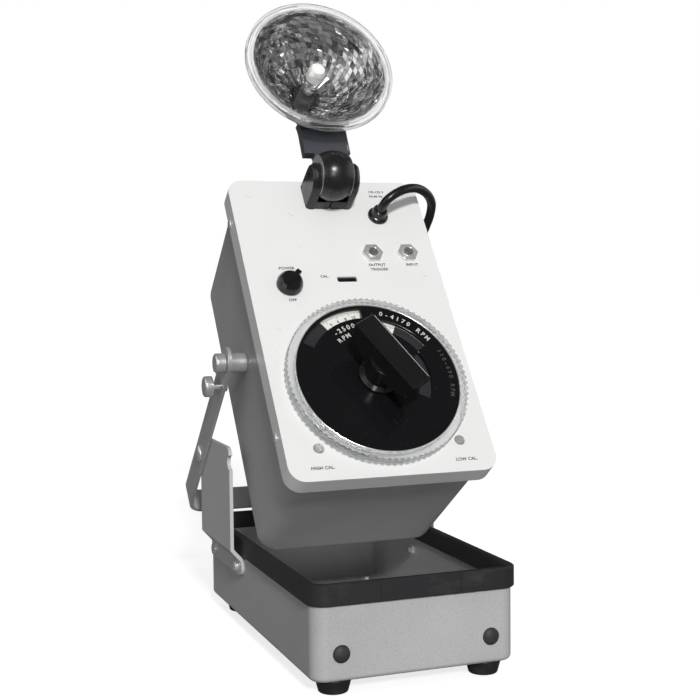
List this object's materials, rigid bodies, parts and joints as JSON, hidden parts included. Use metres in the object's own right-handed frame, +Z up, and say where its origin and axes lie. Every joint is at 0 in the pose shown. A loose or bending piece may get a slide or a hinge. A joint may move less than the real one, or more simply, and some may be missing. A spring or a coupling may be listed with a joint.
{
  "type": "xenon stroboscope",
  "caption": "Portable xenon stroboscope: sloping instrument case with dial and tilting reflector lamp, held by a strap handle over an open storage tray.",
  "frame": {"origin": "on the ground, under the middle of the width and midway between the front bumpers and the back of the handle", "axes": "+Z up, -Y out of the front of the tray, the side that the panel leans towards, +X to the right seen from the front"},
  "size_m": [0.1788, 0.4359, 0.428],
  "materials": {
    "tray_paint": "fine textured grey enamel",
    "gasket_rubber": "matt black",
    "foot_rubber": "matt black",
    "screw_steel": "plated",
    "bracket_paint": "smooth pale grey enamel",
    "strap_steel": "satin",
    "stud_steel": "turned and plated",
    "case_paint": "fine textured grey enamel",
    "panel_paint": "smooth off-white enamel",
    "chassis_alu": "mill",
    "transformer_iron": "varnished laminations",
    "capacitor_film": "sleeved",
    "board": "resin board",
    "pot_metal": "satin",
    "switch_resin": "phenolic wafers",
    "lamp_glow": "small clear lamps",
    "brass": "turned",
    "mask_black": "black with clear windows",
    "black_plastic": "moulded black",
    "cord_pvc": "satin black sheath",
    "window_black": "black",
    "reed_steel": "bright",
    "clear_plastic": "clear moulded",
    "scale_white": "white scale disc",
    "trimmer_metal": "slotted",
    "pot_blue": "moulded",
    "arm_paint": "dark grey satin enamel",
    "bowl_silver": "faceted silvered bowl",
    "tube_glass": "clear glass",
    "cap_white": "white ceramic"
  },
  "bodies": {
    "base": {"base_tray": "tray_paint", "rim_gasket": "gasket_rubber", "feet": "foot_rubber", "foot_screws": "screw_steel", "foot_nuts": "screw_steel", "front_bumpers": "foot_rubber", "bracket_left": "bracket_paint", "bracket_right": "bracket_paint", "bracket_screws": "screw_steel", "bracket_nuts": "screw_steel", "handle_rivets": "stud_steel", "cord_lower": "cord_pvc", "cord_coil": "cord_pvc", "plug_body": "cord_pvc", "plug_blades": "brass"},
    "handle": {"handle_strap": "strap_steel"},
    "lock_pin_left": {"lock_pin_left": "stud_steel"},
    "lock_pin_right": {"lock_pin_right": "stud_steel"},
    "instrument": {"case_shell": "case_paint", "case_studs": "stud_steel", "stud_spacers": "stud_steel", "front_panel": "panel_paint", "rim_screws": "screw_steel", "panel_screws": "panel_paint", "chassis_bracket": "chassis_alu", "power_transformer": "transformer_iron", "filter_capacitors": "capacitor_film", "circuit_board": "board", "dial_potentiometer": "pot_metal", "range_switch": "switch_resin", "dial_lamps": "lamp_glow", "dial_bush": "brass", "dial_mask": "mask_black", "output_jack": "screw_steel", "input_jack": "screw_steel", "jack_nuts": "screw_steel", "power_switch": "window_black", "cord_bush": "black_plastic", "cal_window": "window_black", "cal_reed": "reed_steel", "trimmer_pots": "pot_blue", "lamp_clevis": "black_plastic", "lamp_pivot_pin": "screw_steel", "cord_upper": "cord_pvc"},
    "rpm_dial": {"rpm_hub": "brass", "rpm_dial": "clear_plastic", "scale_disc": "scale_white"},
    "range_knob": {"range_knob": "black_plastic", "range_spindle": "screw_steel"},
    "power_knob": {"power_knob": "black_plastic"},
    "trimmer_high": {"trimmer_high": "trimmer_metal"},
    "trimmer_low": {"trimmer_low": "trimmer_metal"},
    "lamp": {"lamp_knuckle": "black_plastic", "lamp_arm": "arm_paint", "lamp_socket": "black_plastic", "flash_tube": "tube_glass", "tube_cap": "cap_white"},
    "reflector": {"reflector": "bowl_silver", "lens_ring": "clear_plastic"}
  },
  "joints": [
    {"name": "handle_swing", "type": "hinge", "parent": "base", "child": "handle", "pos_m": [0, 0.08149, 0.1139], "axis": [1, 0, 0], "range_deg": [-8, 0], "deforming": ["cord_lower"]},
    {"name": "instrument_tilt", "type": "hinge", "parent": "handle", "child": "instrument", "pos_m": [0, 0.00763, 0.18278], "axis": [1, 0, 0], "range_deg": [-90, 30], "deforming": ["cord_upper"]},
    {"name": "lock_pin_left_slide", "type": "slide", "parent": "handle", "child": "lock_pin_left", "axis": [1, 0, 0], "range_m": [0, 0.004]},
    {"name": "lock_pin_right_slide", "type": "slide", "parent": "handle", "child": "lock_pin_right", "axis": [-1, 0, 0], "range_m": [0, 0.004]},
    {"name": "rpm_dial_turn", "type": "hinge", "parent": "instrument", "child": "rpm_dial", "pos_m": [0, -0.06608, 0.17219], "axis": [0, -0.8056, 0.5924], "range_deg": [-150, 150]},
    {"name": "range_knob_turn", "type": "hinge", "parent": "instrument", "child": "range_knob", "pos_m": [0, -0.06608, 0.17219], "axis": [0, -0.8056, 0.5924], "range_deg": [-60, 60]},
    {"name": "power_knob_turn", "type": "hinge", "parent": "instrument", "child": "power_knob", "pos_m": [-0.0405, -0.02105, 0.23341], "axis": [0, -0.8056, 0.5924], "range_deg": [-30, 60]},
    {"name": "trimmer_high_turn", "type": "hinge", "parent": "instrument", "child": "trimmer_high", "pos_m": [-0.0459, -0.09149, 0.13763], "axis": [0, -0.8056, 0.5924], "range_deg": [-135, 135]},
    {"name": "trimmer_low_turn", "type": "hinge", "parent": "instrument", "child": "trimmer_low", "pos_m": [0.0459, -0.09149, 0.13763], "axis": [0, -0.8056, 0.5924], "range_deg": [-135, 135]},
    {"name": "lamp_tilt", "type": "hinge", "parent": "instrument", "child": "lamp", "pos_m": [0, 0.00837, 0.30549], "axis": [1, 0, 0], "range_deg": [-15, 90]},
    {"name": "reflector_turn", "type": "hinge", "parent": "lamp", "child": "reflector", "pos_m": [0, 0.04534, 0.37406], "axis": [0, -0.8802, 0.4745], "range_deg": [-170, 170]}
  ]
}
